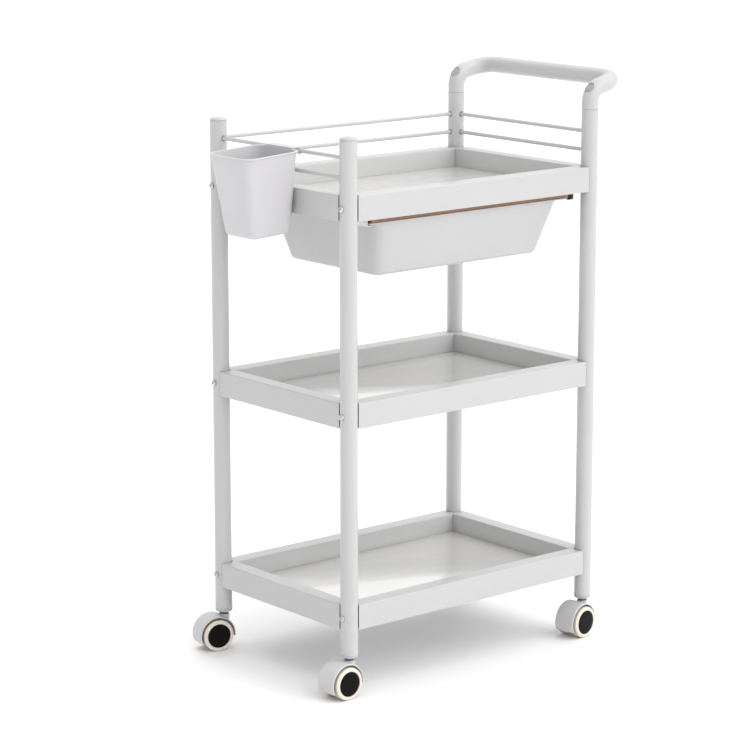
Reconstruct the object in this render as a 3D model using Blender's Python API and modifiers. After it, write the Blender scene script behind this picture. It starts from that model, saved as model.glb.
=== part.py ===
"""Three-tier rolling trolley with a hanging bucket and a drawer, on twin-wheel casters.

Metres, +Z up, +X towards the handle, -Y is the front.  The origin is on the floor, under
the middle of the whole object's length and depth.
"""
import math

import bmesh
import bpy
from mathutils import Matrix, Vector

# ---------------------------------------------------------------- driving dimensions
TUBE_D = 0.0254                 # posts and handle
TUBE_WALL = 0.0012
POST_SPACING_X = 0.4644         # between post axes, along the trolley
POST_SPACING_Y = 0.2982         # between post axes, front to back

TRAY_SHEET = 0.0012
TRAY_PAST_POST = 0.0102         # outer wall of a tray beyond the post axes
TRAY_WALL_H = 0.0370            # outer wall of a tray
TRAY_DEPTH = 0.0288             # deck below the rim's top
LOWEST_TRAY_UP = 0.0772         # rim of the bottom tray above the sockets' underside
TIER_SPACING = 0.2950
TIERS = ("bottom", "middle", "top")

LEFT_POST_ABOVE_TRAY = 0.0770   # end of a left post's tube above the top tray's rim
RIGHT_POST_ABOVE_TRAY = 0.0850  # joint between a right post and the handle
SOCKET_LIP = 0.0040             # rounded end of a caster socket under its post

ROD_D = 0.0060
ROD_ABOVE_TRAY = (0.0236, 0.0516)

HANDLE_REACH = 0.0574           # grip axis beyond the right posts' axes
HANDLE_ELBOW_UP = 0.0296        # leg axis meets arm axis, above the joint with the post
HANDLE_ARM_RISE = 0.0120        # grip axis above the elbow
HANDLE_ELBOW_R = 0.0240
HANDLE_ARM_STRAIGHT = 0.0091    # straight tube between an elbow's bend and a corner's
HANDLE_WALL = 0.0015
SPIGOT_LENGTH = 0.0260
SPIGOT_WALL = 0.0015
PLUG_D = 0.0165
PLUG_THICK = 0.0020
PLUG_SUNK = 0.0024              # plug's face below the tube's skin
CAP_DOME = 0.0052
CAP_BRIM = 0.0012
CAP_PLUG_LENGTH = 0.0140

SCREW_D = 0.0048
SCREW_HEAD_D = 0.0090
SCREW_HEAD_H = 0.0028
SCREW_SOCKET_D = 0.0038
SCREW_SOCKET_DEPTH = 0.0014
SCREW_PAST_SADDLE = 0.0030

BOARD_SIDE = 0.1900             # stiffener board under the top tray, half its length
BOARD_THICK = 0.0129
BOARD_SETBACK = 0.0015          # board's front edge behind the rails' ends
BOARD_TO_RAIL = 0.0010
RAIL_WIDTH = 0.0090
RAIL_SHEET = 0.0012
RAIL_FRONT_SETBACK = 0.0088     # rail ends behind the tray's front wall
RAIL_LENGTH = 0.2640

DRAWER_WALL = 0.0020
DRAWER_BOTTOM = (0.3139, 0.2001)
DRAWER_H = 0.0810
DRAWER_TAPER = (0.250, 0.310)   # outward lean of the side and end walls, per unit height
DRAWER_CORNER_R = 0.0170
DRAWER_FOOT_R = 0.0060
DRAWER_FLANGE_END = 0.0060      # flange beyond the front and back walls

BUCKET_TOP = (0.0944, 0.0970)
BUCKET_H = 0.1160
BUCKET_TAPER = (0.097, 0.116)
BUCKET_CORNER_R = 0.0170
BUCKET_FOOT_R = 0.0070
BUCKET_RIM = 0.0020             # rim beyond the walls
BUCKET_RIM_UP = 0.0010          # underside of the rim above the rod's axis
BUCKET_WALL = 0.0020
BUCKET_TILT = math.radians(3.3)
BUCKET_MIDDLE_Y = -0.0090
HOOK_WIDTH = 0.0600
HOOK_DROP = 0.0060              # how far the hook reaches below the rod's axis

WHEEL_D = 0.0480
WHEEL_WIDTH = 0.0146
WHEEL_SHOULDER = 0.0030
HUB_DISC_D = 0.0370
HUB_DISH = 0.0010
CASTER_WEB = 0.0118             # hood's middle web, between the wheels
CASTER_TRAIL = 0.0165           # wheel axle behind the swivel axis
HOOD_SHEET = 0.0018
HOOD_FRONT = -8.0               # angles about the axle, in degrees
HOOD_REAR = 205.0
BOSS_UP = 0.0055                # collar above the hood's arch
BOSS_WALL = 0.0016
BOSS_DEPTH = 0.0095
HOOD_WIDTH = 0.0340
STEM_D = 0.0110
STEM_PIN_D = 0.0070             # stem's lower end, inside the web
STEM_IN_POST = 0.0300
COLLAR_D = 0.0128
AXLE_D = 0.0060
COLLAR_SHOWS = 0.0039           # collar between the hood's boss and the socket
AXLE_END_WALL = 0.0028          # wheel's outer wall over the axle's end
STEM_HEADROOM = 0.0020          # socket above the stem's top
PIN_BELOW_AXLE = 0.0020
SWIVEL = {"front_left": 1.0, "back_left": -14.0, "front_right": 8.0, "back_right": -6.0}

# clearances
GAP = 0.0003                    # between pieces that touch
NOTCH_GAP = 0.0013              # tray corner round a post
ROD_HOLE_GAP = 0.0010
SCREW_HOLE_GAP = 0.0004
FLANGE_GAP = 0.0005             # drawer flange above its rail
FLANGE_SIDE_GAP = 0.0012
BOARD_GAP = 0.0004              # drawer flange below the board
BUCKET_TO_TRAY = 0.0018         # room for the wall's corner as the bucket tips
HOOK_GAP = 0.0004
WHEEL_GAP = 0.0030              # wheel inside its hood
WEB_GAP = 0.0005                # wheel beside the hood's web
ROD_INTO_POST = 0.0040          # how far a rod reaches past the post's inner face

# ---------------------------------------------------------------- derived places
TUBE_R = TUBE_D / 2
BORE_R = TUBE_R - TUBE_WALL
NOTCH_R = TUBE_R + NOTCH_GAP
HALF_X = POST_SPACING_X / 2
HALF_Y = POST_SPACING_Y / 2
TRAY_HALF_X = HALF_X + TRAY_PAST_POST
TRAY_HALF_Y = HALF_Y + TRAY_PAST_POST
WELL_HALF_X = HALF_X - NOTCH_R - TRAY_SHEET
WELL_HALF_Y = HALF_Y - NOTCH_R - TRAY_SHEET
WHEEL_R = WHEEL_D / 2
HOOD_R = WHEEL_R + WHEEL_GAP + HOOD_SHEET
COLLAR_LOW = WHEEL_R + math.sqrt(HOOD_R ** 2 - CASTER_TRAIL ** 2) + BOSS_UP
CASTER_HEIGHT = COLLAR_LOW + COLLAR_SHOWS
TRAY_TOPS = [CASTER_HEIGHT + LOWEST_TRAY_UP + TIER_SPACING * i for i in range(len(TIERS))]
TOP_TRAY = TRAY_TOPS[-1]
SCREW_BELOW_TOP = TRAY_WALL_H / 2
POST_BOTTOM = CASTER_HEIGHT + SOCKET_LIP + GAP
LEFT_POST_TOP = TOP_TRAY + LEFT_POST_ABOVE_TRAY
RIGHT_POST_TOP = TOP_TRAY + RIGHT_POST_ABOVE_TRAY
ROD_R = ROD_D / 2
ROD_Z = [TOP_TRAY + up for up in ROD_ABOVE_TRAY]
ROD_END = BORE_R - ROD_INTO_POST
ELBOW_Z = RIGHT_POST_TOP + HANDLE_ELBOW_UP
GRIP_X = HALF_X + HANDLE_REACH
GRIP_Z = ELBOW_Z + HANDLE_ARM_RISE
ARM_ANGLE = math.atan2(HANDLE_ARM_RISE, HANDLE_REACH)
ELBOW_RUN = HANDLE_ELBOW_R * math.tan((math.pi / 2 - ARM_ANGLE) / 2)
ARM_LENGTH = math.hypot(HANDLE_REACH, HANDLE_ARM_RISE)
HANDLE_CORNER_R = ARM_LENGTH - ELBOW_RUN - HANDLE_ARM_STRAIGHT
DECK_UNDER = TOP_TRAY - TRAY_DEPTH - TRAY_SHEET
BOARD_BOTTOM = DECK_UNDER - GAP - BOARD_THICK
FLANGE_TOP = BOARD_BOTTOM - BOARD_GAP
FLANGE_BOTTOM = FLANGE_TOP - DRAWER_WALL
RAIL_BOTTOM = FLANGE_BOTTOM - FLANGE_GAP - RAIL_SHEET
RAIL_FRONT = -TRAY_HALF_Y + RAIL_FRONT_SETBACK
RAIL_INNER_X = BOARD_SIDE + BOARD_TO_RAIL
RAIL_OUTER_X = RAIL_INNER_X + RAIL_WIDTH
FLANGE_HALF_X = RAIL_OUTER_X - RAIL_SHEET - FLANGE_SIDE_GAP
DRAWER_TOP = [size / 2 + lean * DRAWER_H for size, lean in zip(DRAWER_BOTTOM, DRAWER_TAPER)]
DRAWER_FRONT = RAIL_FRONT + DRAWER_FLANGE_END
DRAWER_MIDDLE_Y = DRAWER_FRONT + DRAWER_TOP[1]
BUCKET_ROD_Z = ROD_Z[-1]
WALL_SHIFT = math.tan(BUCKET_TILT)
BUCKET_LEAN = (BUCKET_TAPER[0] - WALL_SHIFT) * (BUCKET_ROD_Z - TOP_TRAY)
BUCKET_FROM_ROD = TRAY_PAST_POST + BUCKET_TO_TRAY - BUCKET_LEAN
WHEEL_INNER = CASTER_WEB / 2 + WEB_GAP
WHEEL_OUTER = WHEEL_INNER + WHEEL_WIDTH

# the origin is under the middle of the length, between the grip and the bucket's far rim
REACH_RIGHT = GRIP_X + TUBE_R
REACH_LEFT = HALF_X + BUCKET_FROM_ROD + BUCKET_TOP[0] + BUCKET_RIM
MIDDLE_X = (REACH_LEFT - REACH_RIGHT) / 2

POSTS = {
    "front_left": (-1, -1),
    "back_left": (-1, 1),
    "front_right": (1, -1),
    "back_right": (1, 1),
}

ROUND_STEPS = 24
SMALL_STEPS = 12
BEND_STEPS = 5


# ---------------------------------------------------------------- tools
def clear_scene():
    for item in list(bpy.data.objects):
        bpy.data.objects.remove(item, do_unlink=True)


def collection(name):
    made = bpy.data.collections.new(name)
    bpy.context.scene.collection.children.link(made)
    return made


def material(name, colour, roughness, metallic=0.0):
    made = bpy.data.materials.new(name)
    made.use_nodes = True
    shader = made.node_tree.nodes["Principled BSDF"]
    shader.inputs["Base Color"].default_value = (*colour, 1.0)
    shader.inputs["Roughness"].default_value = roughness
    shader.inputs["Metallic"].default_value = metallic
    return made


def link(name, data, finish=None, group=None):
    item = bpy.data.objects.new(name, data)
    (group or TROLLEY).objects.link(item)
    if finish:
        data.materials.append(finish)
    return item


def smooth(item, angle=35):
    item.data.shade_smooth()
    item.data.set_sharp_from_angle(angle=math.radians(angle))


def mesh_from(bm, name):
    """Store the mesh with its faces pointing out, so its lowest face looks down."""
    mesh = bpy.data.meshes.new(name)
    bmesh.ops.recalc_face_normals(bm, faces=bm.faces)
    bm.faces.ensure_lookup_table()
    lowest = min(bm.faces, key=lambda f: f.calc_center_median().z)
    if lowest.normal.z > 0.5:
        bmesh.ops.reverse_faces(bm, faces=bm.faces)
    bm.to_mesh(mesh)
    bm.free()
    return mesh


def box(name, low, high, finish=None, group=None):
    """A plain box between two corners, its scale already in the mesh."""
    bm = bmesh.new()
    bmesh.ops.create_cube(bm, size=1.0)
    size = [b - a for a, b in zip(low, high)]
    middle = [(a + b) / 2 for a, b in zip(low, high)]
    bmesh.ops.scale(bm, vec=size, verts=bm.verts)
    bmesh.ops.translate(bm, vec=middle, verts=bm.verts)
    return link(name, mesh_from(bm, name), finish, group)


def cylinder(name, start, end, radius, finish=None, group=None, steps=SMALL_STEPS):
    """A solid cylinder from one point to another."""
    start, end = Vector(start), Vector(end)
    along = end - start
    bm = bmesh.new()
    bmesh.ops.create_cone(bm, cap_ends=True, segments=steps, radius1=radius, radius2=radius,
                          depth=along.length)
    turn = along.to_track_quat("Z", "Y").to_matrix().to_4x4()
    bmesh.ops.transform(bm, matrix=Matrix.Translation((start + end) / 2) @ turn, verts=bm.verts)
    return link(name, mesh_from(bm, name), finish, group)


def turned(name, profile, finish=None, closed=False, steps=ROUND_STEPS, group=None):
    """A body of revolution about Z: (radius, height) points down the outer side."""
    mesh = bpy.data.meshes.new(name)
    edges = [(i, i + 1) for i in range(len(profile) - 1)]
    if closed:
        edges.append((len(profile) - 1, 0))
    mesh.from_pydata([(r, 0.0, z) for r, z in profile], edges, [])
    item = link(name, mesh, finish, group)
    screw = item.modifiers.new("turn", "SCREW")
    screw.axis = "Z"
    screw.angle = math.tau
    screw.steps = steps
    screw.render_steps = steps
    screw.use_merge_vertices = True
    screw.merge_threshold = 0.00001
    screw.use_normal_calculate = False
    screw.use_smooth_shade = True
    return item


def outline(name, points, thickness, finish=None, group=None):
    """A flat outline in X and Z, extruded evenly to both sides of Y = 0."""
    bm = bmesh.new()
    corners = [bm.verts.new((x, -thickness / 2, z)) for x, z in points]
    face = bm.faces.new(corners)
    grown = bmesh.ops.extrude_face_region(bm, geom=[face])
    moved = [v for v in grown["geom"] if isinstance(v, bmesh.types.BMVert)]
    bmesh.ops.translate(bm, vec=(0, thickness, 0), verts=moved)
    return link(name, mesh_from(bm, name), finish, group)


def combine(item, other, operation="DIFFERENCE"):
    """Cut or join with another object, which is only a guide from then on."""
    other.hide_render = True
    other.display_type = "WIRE"
    step = item.modifiers.new(operation.lower(), "BOOLEAN")
    step.operation = operation
    step.solver = "EXACT"
    step.object = other
    return item


def arc(centre, radius, start, end, steps):
    """Points on an arc; angles in degrees."""
    turn = [math.radians(start + (end - start) * i / steps) for i in range(steps + 1)]
    return [(centre[0] + radius * math.cos(a), centre[1] + radius * math.sin(a)) for a in turn]


def tapered_tub(name, top_size, bottom_size, low_z, high_z, corner_r, foot_r, middle):
    """An open tub with rounded corners; returns its bmesh and the edges of its mouth."""
    bm = bmesh.new()
    bmesh.ops.create_cube(bm, size=1.0)
    bmesh.ops.scale(bm, vec=(top_size[0], top_size[1], high_z - low_z), verts=bm.verts)
    bmesh.ops.translate(bm, vec=(middle[0], middle[1], (low_z + high_z) / 2), verts=bm.verts)
    upright = [e for e in bm.edges if abs(e.verts[0].co.z - e.verts[1].co.z) > 1e-6]
    bmesh.ops.bevel(bm, geom=upright, offset=corner_r, segments=5, profile=0.5,
                    affect="EDGES", material=-1)
    half_way = (low_z + high_z) / 2
    for vert in bm.verts:
        if vert.co.z < half_way:
            for axis in (0, 1):
                off = vert.co[axis] - middle[axis]
                vert.co[axis] = middle[axis] + off * bottom_size[axis] / top_size[axis]
    foot = [e for e in bm.edges if all(v.co.z < half_way for v in e.verts)]
    bmesh.ops.bevel(bm, geom=foot, offset=foot_r, segments=3, profile=0.5,
                    affect="EDGES", material=-1)
    lid = max(bm.faces, key=lambda f: f.calc_center_median().z)
    bmesh.ops.delete(bm, geom=[lid], context="FACES_ONLY")
    mouth = [e for e in bm.edges if e.is_boundary]
    return bm, mouth


def widen(bm, mouth, old_half, new_half, middle, rise=0.0):
    """Grow the mouth's edges outwards into a flange."""
    grown = bmesh.ops.extrude_edge_only(bm, edges=mouth)
    verts = [v for v in grown["geom"] if isinstance(v, bmesh.types.BMVert)]
    for vert in verts:
        for axis in (0, 1):
            off = vert.co[axis] - middle[axis]
            vert.co[axis] = middle[axis] + off * new_half[axis] / old_half[axis]
        vert.co.z += rise


def shell(item, thickness):
    wall = item.modifiers.new("wall", "SOLIDIFY")
    wall.thickness = thickness
    wall.offset = -1.0
    wall.use_even_offset = True
    return item


def place(item, x=0.0, y=0.0, z=0.0):
    item.location = (x + MIDDLE_X, y, z)
    return item


# ---------------------------------------------------------------- frame
def posts():
    """Four steel tubes with drilled holes for the tray screws and the guard rods."""
    for corner, (sx, sy) in POSTS.items():
        top = LEFT_POST_TOP if sx < 0 else RIGHT_POST_TOP
        ring = [(TUBE_R, top), (TUBE_R, POST_BOTTOM), (BORE_R, POST_BOTTOM), (BORE_R, top)]
        post = turned(f"post_{corner}", ring, WHITE_STEEL, closed=True)
        place(post, sx * HALF_X, sy * HALF_Y)
        drills = []
        for tray_top in TRAY_TOPS:
            z = tray_top - SCREW_BELOW_TOP
            drills.append(((-TUBE_D, 0, z), (TUBE_D, 0, z), SCREW_D / 2 + SCREW_HOLE_GAP))
        for z in ROD_Z:
            drills.append(((0, 0, z), (0, -sy * TUBE_D, z), ROD_R + ROD_HOLE_GAP))
            if sy > 0:
                drills.append(((0, 0, z), (-sx * TUBE_D, 0, z), ROD_R + ROD_HOLE_GAP))
        for index, (start, end, radius) in enumerate(drills):
            drill = cylinder(f"drill_{corner}_{index}", start, end, radius, group=CUTTERS)
            place(drill, sx * HALF_X, sy * HALF_Y)
            combine(post, drill)


def post_caps():
    """Domed plastic caps pushed into the open ends of the left posts."""
    plug_r = BORE_R - GAP
    seat = LEFT_POST_TOP + GAP
    plug_low = seat - CAP_PLUG_LENGTH
    bevel = 0.001
    dome = [(TUBE_R * math.cos(a), seat + CAP_BRIM + (CAP_DOME - CAP_BRIM) * math.sin(a))
            for a in [math.radians(90 - 22.5 * i) for i in range(1, 5)]]
    profile = [(0.0, seat + CAP_DOME), *dome, (TUBE_R, seat), (plug_r, seat),
               (plug_r, plug_low + bevel), (plug_r - bevel, plug_low), (0.0, plug_low)]
    for corner in ("front_left", "back_left"):
        sx, sy = POSTS[corner]
        place(turned(f"post_cap_{corner}", profile, WHITE_PLASTIC), sx * HALF_X, sy * HALF_Y)


def guard_rods():
    """Six round rods above the top tray, held in the posts' drilled holes."""
    for level, z in zip(("lower", "upper"), ROD_Z):
        reach_y = HALF_Y - ROD_END
        reach_x = HALF_X - ROD_END
        for side, sx in (("left", -1), ("right", 1)):
            rod = cylinder(f"guard_rod_{side}_{level}", (0, -reach_y, z), (0, reach_y, z),
                           ROD_R, WHITE_STEEL)
            place(rod, sx * HALF_X)
        rod = cylinder(f"guard_rod_back_{level}", (-reach_x, 0, z), (reach_x, 0, z),
                       ROD_R, WHITE_STEEL)
        place(rod, 0, HALF_Y)


def handle_path():
    """Centre line of the bent handle tube, leg to leg, with rounded elbows and corners."""
    bends = [
        (Vector((HALF_X, -HALF_Y, RIGHT_POST_TOP + GAP)), 0.0),
        (Vector((HALF_X, -HALF_Y, ELBOW_Z)), HANDLE_ELBOW_R),
        (Vector((GRIP_X, -HALF_Y, GRIP_Z)), HANDLE_CORNER_R),
        (Vector((GRIP_X, HALF_Y, GRIP_Z)), HANDLE_CORNER_R),
        (Vector((HALF_X, HALF_Y, ELBOW_Z)), HANDLE_ELBOW_R),
        (Vector((HALF_X, HALF_Y, RIGHT_POST_TOP + GAP)), 0.0),
    ]
    path = [bends[0][0]]
    for before, here, after in zip(bends, bends[1:], bends[2:]):
        corner, radius = here
        back = (before[0] - corner).normalized()
        ahead = (after[0] - corner).normalized()
        half = back.angle(ahead) / 2
        centre = corner + (back + ahead).normalized() * radius / math.sin(half)
        start = corner + back * radius / math.tan(half)
        end = corner + ahead * radius / math.tan(half)
        bend = math.pi - 2 * half
        for i in range(BEND_STEPS + 1):
            share = i / BEND_STEPS
            near = math.sin((1 - share) * bend) / math.sin(bend)
            far = math.sin(share * bend) / math.sin(bend)
            path.append(centre + (start - centre) * near + (end - centre) * far)
    path.append(bends[-1][0])
    return path


def bent_tube(name, path, radius, sides):
    """An open round skin along a path, made a mesh so that it can take a wall and cuts."""
    curve = bpy.data.curves.new(name, "CURVE")
    curve.dimensions = "3D"
    curve.bevel_depth = radius
    curve.bevel_resolution = (sides - 4) // 2
    curve.use_fill_caps = False
    line = curve.splines.new("POLY")
    line.points.add(len(path) - 1)
    for point, spot in zip(line.points, path):
        point.co = (*spot, 1.0)
    guide = bpy.data.objects.new(name + "_guide", curve)
    CUTTERS.objects.link(guide)
    depsgraph = bpy.context.evaluated_depsgraph_get()
    mesh = bpy.data.meshes.new_from_object(guide.evaluated_get(depsgraph))
    matrix = guide.matrix_world.copy()
    bpy.data.objects.remove(guide)
    bm = bmesh.new()
    bm.from_mesh(mesh)
    bmesh.ops.remove_doubles(bm, verts=bm.verts, dist=0.00001)
    bmesh.ops.recalc_face_normals(bm, faces=bm.faces)
    bm.to_mesh(mesh)
    bm.free()
    mesh.materials.clear()
    item = link(name, mesh, WHITE_STEEL)
    item.matrix_world = matrix
    return item


def elbow_face():
    """Where the handle's elbow faces outwards: a point on the tube's skin and its normal."""
    arm = Vector((HANDLE_REACH, 0, HANDLE_ARM_RISE)).normalized()
    normal = (Vector((0, 0, 1)) - arm).normalized()
    half = Vector((0, 0, -1)).angle(arm) / 2
    inward = HANDLE_ELBOW_R * (1 / math.sin(half) - 1)
    point = Vector((HALF_X, 0, ELBOW_Z)) + normal * (TUBE_R - inward)
    return point, normal


def handle():
    """The bent push handle, its two spigots and the plugs in its elbows."""
    grip = bent_tube("handle", handle_path(), TUBE_R, 16)
    shell(grip, HANDLE_WALL)
    place(grip)
    inner = TUBE_R - HANDLE_WALL
    spigot_r = BORE_R - GAP
    spigot_bore = spigot_r - SPIGOT_WALL
    seat = RIGHT_POST_TOP + GAP
    reach_up = 0.010
    into = 0.0003                   # the spigot's weld into the tube's wall
    outside = 0.010                 # clear of the tube on both sides of its wall
    point, normal = elbow_face()
    for side, sy in (("front", -1), ("back", 1)):
        ring = [(inner + into, seat + reach_up), (inner + into, seat + into),
                (spigot_r, seat + into), (spigot_r, seat - SPIGOT_LENGTH),
                (spigot_bore, seat - SPIGOT_LENGTH), (spigot_bore, seat + reach_up)]
        spigot = turned(f"spigot_{side}", ring, closed=True, group=CUTTERS)
        place(spigot, HALF_X, sy * HALF_Y)
        combine(grip, spigot, "UNION")
        spot = point + Vector((0, sy * HALF_Y, 0))
        hole = cylinder(f"elbow_hole_{side}", spot - normal * 0.8 * outside,
                        spot + normal * outside, PLUG_D / 2 + GAP, group=CUTTERS, steps=ROUND_STEPS)
        place(hole)
        combine(grip, hole)
        sunk = spot - normal * PLUG_SUNK
        plug = cylinder(f"handle_plug_{side}", sunk - normal * PLUG_THICK, sunk, PLUG_D / 2,
                        GREY_PLASTIC, steps=ROUND_STEPS)
        place(plug)
    smooth(grip)


# ---------------------------------------------------------------- trays
def tray(name, top):
    """A folded sheet pan with a hollow rim, notched round the posts, with corner saddles."""
    far = 0.02
    body = box(name, (-TRAY_HALF_X, -TRAY_HALF_Y, top - TRAY_WALL_H),
               (TRAY_HALF_X, TRAY_HALF_Y, top), WHITE_STEEL)
    fold = body.modifiers.new("fold", "BEVEL")
    fold.width = TRAY_SHEET
    fold.segments = 1
    fold.limit_method = "ANGLE"
    well = box(f"{name}_well", (-WELL_HALF_X, -WELL_HALF_Y, top - TRAY_DEPTH),
               (WELL_HALF_X, WELL_HALF_Y, top + far), group=CUTTERS)
    hollow = box(f"{name}_hollow",
                 (-TRAY_HALF_X + TRAY_SHEET, -TRAY_HALF_Y + TRAY_SHEET, top - TRAY_WALL_H - far),
                 (TRAY_HALF_X - TRAY_SHEET, TRAY_HALF_Y - TRAY_SHEET, top - TRAY_SHEET),
                 group=CUTTERS)
    pan = box(f"{name}_pan",
              (-WELL_HALF_X - TRAY_SHEET, -WELL_HALF_Y - TRAY_SHEET,
               top - TRAY_DEPTH - TRAY_SHEET),
              (WELL_HALF_X + TRAY_SHEET, WELL_HALF_Y + TRAY_SHEET, top + far), group=CUTTERS)
    combine(hollow, pan)
    notches = []
    for corner, (sx, sy) in POSTS.items():
        spot = Vector((sx * HALF_X, sy * HALF_Y, 0))
        low = Vector((0, 0, top - TRAY_WALL_H - 2 * far))
        high = Vector((0, 0, top + 2 * far))
        saddle = cylinder(f"{name}_saddle_{corner}", spot + low, spot + high,
                          NOTCH_R + TRAY_SHEET, group=CUTTERS, steps=ROUND_STEPS)
        combine(hollow, saddle)
        notches.append(cylinder(f"{name}_notch_{corner}", spot + low, spot + high, NOTCH_R,
                                group=CUTTERS, steps=ROUND_STEPS))
        # the tray's own corner, outside the post, is cut off
        corner_low = [min(sign * half, sign * (half + far)) for sign, half in
                      ((sx, HALF_X), (sy, HALF_Y))]
        notches.append(box(f"{name}_corner_{corner}",
                           (*corner_low, top - TRAY_WALL_H - far),
                           (corner_low[0] + far, corner_low[1] + far, top + far),
                           group=CUTTERS))
        across = Vector((NOTCH_R + 4 * TRAY_SHEET, 0, 0))
        at = spot + Vector((0, 0, top - SCREW_BELOW_TOP))
        notches.append(cylinder(f"{name}_hole_{corner}", at, at - across * sx,
                                SCREW_D / 2 + SCREW_HOLE_GAP, group=CUTTERS))
        place(saddle)
    for cutter in (well, hollow, *notches):
        combine(body, cutter)
        place(cutter)
    place(pan)
    place(body)


def tray_screws(name, top):
    """One screw through each post into the tray's corner saddle."""
    z = top - SCREW_BELOW_TOP
    shank = SCREW_D / 2
    head = SCREW_HEAD_D / 2
    bevel = 0.001
    seat = TUBE_R + GAP
    end = NOTCH_R + TRAY_SHEET + SCREW_PAST_SADDLE
    crown = seat + SCREW_HEAD_H
    socket = SCREW_SOCKET_D / 2
    profile = [(0.0, crown - SCREW_SOCKET_DEPTH), (socket, crown - SCREW_SOCKET_DEPTH),
               (socket, crown),
               (head - bevel, crown), (head, crown - bevel), (head, seat), (shank, seat),
               (shank, -end + bevel), (shank - bevel, -end), (0.0, -end)]
    for corner, (sx, sy) in POSTS.items():
        screw = turned(f"{name}_screw_{corner}", profile, CHROME, steps=SMALL_STEPS)
        screw.rotation_euler = (0, sx * math.pi / 2, 0)
        place(screw, sx * HALF_X, sy * HALF_Y, z)


def drawer_mounting():
    """The stiffener board under the top tray and the two folded rails beside it."""
    back = RAIL_FRONT + RAIL_LENGTH
    place(box("stiffener_board", (-BOARD_SIDE, RAIL_FRONT + BOARD_SETBACK, BOARD_BOTTOM),
              (BOARD_SIDE, back, DECK_UNDER - GAP), BROWN_BOARD))
    past = 0.01
    for side, sx in (("left", -1), ("right", 1)):
        near, out = sorted((sx * RAIL_INNER_X, sx * RAIL_OUTER_X))
        rail = box(f"drawer_rail_{side}", (near, RAIL_FRONT, RAIL_BOTTOM),
                   (out, back, DECK_UNDER - GAP), ZINC_STEEL)
        mouth = sorted((sx * (RAIL_INNER_X - past), sx * (RAIL_OUTER_X - RAIL_SHEET)))
        groove = box(f"rail_groove_{side}",
                     (mouth[0], RAIL_FRONT - past, RAIL_BOTTOM + RAIL_SHEET),
                     (mouth[1], back + past, DECK_UNDER - GAP - RAIL_SHEET), group=CUTTERS)
        combine(rail, groove)
        place(groove)
        place(rail)


# ---------------------------------------------------------------- drawer and bucket
def drawer():
    """A moulded drawer with leaning walls and a flange that runs in the rails."""
    middle = (0.0, DRAWER_MIDDLE_Y)
    top_size = [2 * half for half in DRAWER_TOP]
    bm, mouth = tapered_tub("drawer", top_size, DRAWER_BOTTOM, FLANGE_BOTTOM - DRAWER_H,
                            FLANGE_BOTTOM, DRAWER_CORNER_R, DRAWER_FOOT_R, middle)
    flange = (FLANGE_HALF_X, DRAWER_TOP[1] + DRAWER_FLANGE_END)
    widen(bm, mouth, DRAWER_TOP, flange, middle)
    item = link("drawer", mesh_from(bm, "drawer"), WHITE_PLASTIC)
    shell(item, DRAWER_WALL)
    smooth(item)
    place(item)


def bucket():
    """A moulded bucket that hooks over the upper left guard rod and rests on the tray."""
    middle = (-BUCKET_FROM_ROD - BUCKET_TOP[0] / 2, BUCKET_MIDDLE_Y)
    bottom = [size - 2 * lean * BUCKET_H for size, lean in zip(BUCKET_TOP, BUCKET_TAPER)]
    bm, mouth = tapered_tub("bucket", BUCKET_TOP, bottom, BUCKET_RIM_UP - BUCKET_H,
                            BUCKET_RIM_UP, BUCKET_CORNER_R, BUCKET_FOOT_R, middle)
    half = [size / 2 for size in BUCKET_TOP]
    widen(bm, mouth, half, [h + BUCKET_RIM for h in half], middle)
    item = link("bucket", mesh_from(bm, "bucket"), LILAC_PLASTIC)
    shell(item, BUCKET_WALL)
    smooth(item)
    under = ROD_R + HOOK_GAP
    over = under + BUCKET_WALL
    wall = -BUCKET_FROM_ROD
    low = -HOOK_DROP
    weld = 0.8 * BUCKET_WALL        # how deep the hook is fused into the bucket's wall
    hook = [(wall - weld, low), (wall - weld, over), (over - BUCKET_WALL, over),
            (over, over - BUCKET_WALL), (over, low), (under, low), (under, under),
            (wall, under), (wall - 0.1 * weld, low)]
    strap = outline("bucket_hook", hook, HOOK_WIDTH, group=CUTTERS)
    combine(item, strap, "UNION")
    for piece, y in ((item, 0.0), (strap, BUCKET_MIDDLE_Y)):
        piece.rotation_euler = (0, -BUCKET_TILT, 0)
        place(piece, -HALF_X, y, BUCKET_ROD_Z)


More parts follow.
